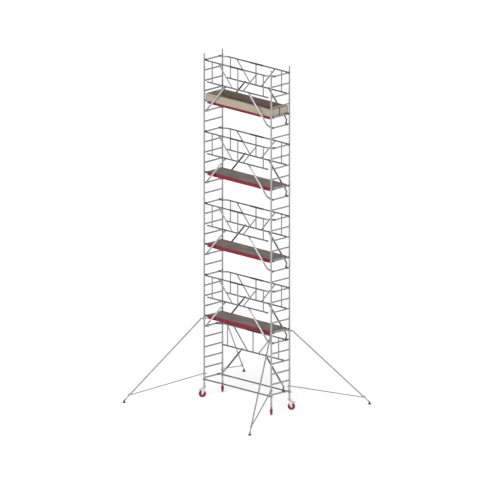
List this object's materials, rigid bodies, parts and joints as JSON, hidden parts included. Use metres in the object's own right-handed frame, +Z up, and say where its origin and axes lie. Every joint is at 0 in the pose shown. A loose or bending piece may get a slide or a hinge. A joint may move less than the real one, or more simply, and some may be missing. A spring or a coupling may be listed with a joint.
{
  "type": "mobile tower scaffold",
  "caption": "Tall narrow mobile access tower of aluminium ladder frames with trapdoor platforms, guardrail frames, braked castors on adjustable legs and telescopic stabilisers.",
  "frame": {"origin": "on the floor, at the middle of the tower between its four uprights", "axes": "+Z up the tower; X along the platforms with the trapdoors towards +X; Y along the rungs, the base guardrail frame on the +Y side"},
  "size_m": [4.78, 4.5632, 9.3897],
  "materials": {
    "aluminium_tube": "mill-finish extruded tube, satin",
    "galvanised_steel": "zinc plated",
    "platform": "plywood deck between red coated aluminium side beams",
    "red_beam": "red powder coat",
    "deck_board": "brown anti-slip phenolic film",
    "toe_board": "clear sealed pale plywood",
    "red_tyre": "red polyurethane tread",
    "wheel_hub": "moulded crimson nylon",
    "brake_pedal": "dark grey coat",
    "dark_coupling": "moulded dark grey nylon",
    "rubber_foot": "dark red-brown rubber"
  },
  "bodies": {
    "tower": {"left_end_frame_1": "aluminium_tube", "left_end_frame_2": "aluminium_tube", "left_end_frame_3": "aluminium_tube", "left_end_frame_4": "aluminium_tube", "left_end_frame_5": "aluminium_tube", "right_end_frame_1": "aluminium_tube", "right_end_frame_2": "aluminium_tube", "right_end_frame_3": "aluminium_tube", "right_end_frame_4": "aluminium_tube", "right_end_frame_5": "aluminium_tube", "front_guardrail_1": "aluminium_tube", "back_guardrail_1": "aluminium_tube", "front_guardrail_2": "aluminium_tube", "back_guardrail_2": "aluminium_tube", "front_guardrail_3": "aluminium_tube", "back_guardrail_3": "aluminium_tube", "front_guardrail_4": "aluminium_tube", "back_guardrail_4": "aluminium_tube", "base_guardrail": "aluminium_tube", "front_base_brace": "aluminium_tube", "back_base_brace": "aluminium_tube", "platform_1": "platform", "platform_2": "platform", "platform_3": "platform", "platform_4": "platform", "front_toe_board": "toe_board", "back_toe_board": "toe_board", "left_toe_board": "toe_board", "right_toe_board": "toe_board"},
    "hatch_1": {"hatch_1": "deck_board"},
    "hatch_2": {"hatch_2": "deck_board"},
    "hatch_3": {"hatch_3": "deck_board"},
    "hatch_4": {"hatch_4": "deck_board"},
    "front_left_leg": {"front_left_leg": "galvanised_steel"},
    "front_left_castor": {"front_left_castor_fork": "galvanised_steel"},
    "front_left_wheel": {"front_left_wheel": "red_tyre"},
    "front_left_brake_pedal": {"front_left_brake_pedal": "brake_pedal"},
    "front_left_stabiliser": {"front_left_stabiliser": "aluminium_tube"},
    "front_left_stabiliser_foot": {"front_left_stabiliser_foot": "aluminium_tube"},
    "back_left_leg": {"back_left_leg": "galvanised_steel"},
    "back_left_castor": {"back_left_castor_fork": "galvanised_steel"},
    "back_left_wheel": {"back_left_wheel": "red_tyre"},
    "back_left_brake_pedal": {"back_left_brake_pedal": "brake_pedal"},
    "back_left_stabiliser": {"back_left_stabiliser": "aluminium_tube"},
    "back_left_stabiliser_foot": {"back_left_stabiliser_foot": "aluminium_tube"},
    "front_right_leg": {"front_right_leg": "galvanised_steel"},
    "front_right_castor": {"front_right_castor_fork": "galvanised_steel"},
    "front_right_wheel": {"front_right_wheel": "red_tyre"},
    "front_right_brake_pedal": {"front_right_brake_pedal": "brake_pedal"},
    "front_right_stabiliser": {"front_right_stabiliser": "aluminium_tube"},
    "front_right_stabiliser_foot": {"front_right_stabiliser_foot": "aluminium_tube"},
    "back_right_leg": {"back_right_leg": "galvanised_steel"},
    "back_right_castor": {"back_right_castor_fork": "galvanised_steel"},
    "back_right_wheel": {"back_right_wheel": "red_tyre"},
    "back_right_brake_pedal": {"back_right_brake_pedal": "brake_pedal"},
    "back_right_stabiliser": {"back_right_stabiliser": "aluminium_tube"},
    "back_right_stabiliser_foot": {"back_right_stabiliser_foot": "aluminium_tube"}
  },
  "joints": [
    {"name": "hatch_1_hinge", "type": "hinge", "parent": "tower", "child": "hatch_1", "pos_m": [0.75, 0.23, 2.245], "axis": [-1, 0, 0], "range_deg": [0, 95]},
    {"name": "hatch_2_hinge", "type": "hinge", "parent": "tower", "child": "hatch_2", "pos_m": [0.75, 0.23, 4.205], "axis": [-1, 0, 0], "range_deg": [0, 95]},
    {"name": "hatch_3_hinge", "type": "hinge", "parent": "tower", "child": "hatch_3", "pos_m": [0.75, 0.23, 6.165], "axis": [-1, 0, 0], "range_deg": [0, 95]},
    {"name": "hatch_4_hinge", "type": "hinge", "parent": "tower", "child": "hatch_4", "pos_m": [0.75, 0.23, 8.125], "axis": [-1, 0, 0], "range_deg": [0, 95]},
    {"name": "front_left_leg_height", "type": "slide", "parent": "tower", "child": "front_left_leg", "axis": [0, 0, -1], "range_m": [0, 0.2]},
    {"name": "front_left_castor_swivel", "type": "hinge", "parent": "front_left_leg", "child": "front_left_castor", "pos_m": [-1.25, -0.34, 0.25], "axis": [0, 0, 1], "continuous": true},
    {"name": "front_left_wheel_spin", "type": "hinge", "parent": "front_left_castor", "child": "front_left_wheel", "pos_m": [-1.28536, -0.37535, 0.09914], "axis": [0.7071, -0.7071, 0], "continuous": true},
    {"name": "front_left_brake_release", "type": "hinge", "parent": "front_left_castor", "child": "front_left_brake_pedal", "pos_m": [-1.27828, -0.36828, 0.222], "axis": [-0.7071, 0.7071, 0], "range_deg": [0, 18]},
    {"name": "front_left_stabiliser_swing", "type": "hinge", "parent": "tower", "child": "front_left_stabiliser", "pos_m": [-1.25, -0.34, 2.15], "axis": [0, 0, -1], "range_deg": [-30, 60]},
    {"name": "front_left_stabiliser_length", "type": "slide", "parent": "front_left_stabiliser", "child": "front_left_stabiliser_foot", "axis": [-0.354, -0.6131, -0.7063], "range_m": [-0.05, 0.6]},
    {"name": "back_left_leg_height", "type": "slide", "parent": "tower", "child": "back_left_leg", "axis": [0, 0, -1], "range_m": [0, 0.2]},
    {"name": "back_left_castor_swivel", "type": "hinge", "parent": "back_left_leg", "child": "back_left_castor", "pos_m": [-1.25, 0.34, 0.25], "axis": [0, 0, 1], "continuous": true},
    {"name": "back_left_wheel_spin", "type": "hinge", "parent": "back_left_castor", "child": "back_left_wheel", "pos_m": [-1.28536, 0.37535, 0.09914], "axis": [-0.7071, -0.7071, 0], "continuous": true},
    {"name": "back_left_brake_release", "type": "hinge", "parent": "back_left_castor", "child": "back_left_brake_pedal", "pos_m": [-1.27828, 0.36828, 0.222], "axis": [0.7071, 0.7071, 0], "range_deg": [0, 18]},
    {"name": "back_left_stabiliser_swing", "type": "hinge", "parent": "tower", "child": "back_left_stabiliser", "pos_m": [-1.25, 0.34, 2.15], "axis": [0, 0, 1], "range_deg": [-30, 60]},
    {"name": "back_left_stabiliser_length", "type": "slide", "parent": "back_left_stabiliser", "child": "back_left_stabiliser_foot", "axis": [-0.354, 0.6131, -0.7063], "range_m": [-0.05, 0.6]},
    {"name": "front_right_leg_height", "type": "slide", "parent": "tower", "child": "front_right_leg", "axis": [0, 0, -1], "range_m": [0, 0.2]},
    {"name": "front_right_castor_swivel", "type": "hinge", "parent": "front_right_leg", "child": "front_right_castor", "pos_m": [1.25, -0.34, 0.25], "axis": [0, 0, 1], "continuous": true},
    {"name": "front_right_wheel_spin", "type": "hinge", "parent": "front_right_castor", "child": "front_right_wheel", "pos_m": [1.28536, -0.37535, 0.09914], "axis": [0.7071, 0.7071, 0], "continuous": true},
    {"name": "front_right_brake_release", "type": "hinge", "parent": "front_right_castor", "child": "front_right_brake_pedal", "pos_m": [1.27828, -0.36828, 0.222], "axis": [-0.7071, -0.7071, 0], "range_deg": [0, 18]},
    {"name": "front_right_stabiliser_swing", "type": "hinge", "parent": "tower", "child": "front_right_stabiliser", "pos_m": [1.25, -0.34, 2.15], "axis": [0, 0, 1], "range_deg": [-30, 60]},
    {"name": "front_right_stabiliser_length", "type": "slide", "parent": "front_right_stabiliser", "child": "front_right_stabiliser_foot", "axis": [0.354, -0.6131, -0.7063], "range_m": [-0.05, 0.6]},
    {"name": "back_right_leg_height", "type": "slide", "parent": "tower", "child": "back_right_leg", "axis": [0, 0, -1], "range_m": [0, 0.2]},
    {"name": "back_right_castor_swivel", "type": "hinge", "parent": "back_right_leg", "child": "back_right_castor", "pos_m": [1.25, 0.34, 0.25], "axis": [0, 0, 1], "continuous": true},
    {"name": "back_right_wheel_spin", "type": "hinge", "parent": "back_right_castor", "child": "back_right_wheel", "pos_m": [1.28536, 0.37535, 0.09914], "axis": [-0.7071, 0.7071, 0], "continuous": true},
    {"name": "back_right_brake_release", "type": "hinge", "parent": "back_right_castor", "child": "back_right_brake_pedal", "pos_m": [1.27828, 0.36828, 0.222], "axis": [0.7071, -0.7071, 0], "range_deg": [0, 18]},
    {"name": "back_right_stabiliser_swing", "type": "hinge", "parent": "tower", "child": "back_right_stabiliser", "pos_m": [1.25, 0.34, 2.15], "axis": [0, 0, -1], "range_deg": [-30, 60]},
    {"name": "back_right_stabiliser_length", "type": "slide", "parent": "back_right_stabiliser", "child": "back_right_stabiliser_foot", "axis": [0.354, 0.6131, -0.7063], "range_m": [-0.05, 0.6]}
  ]
}
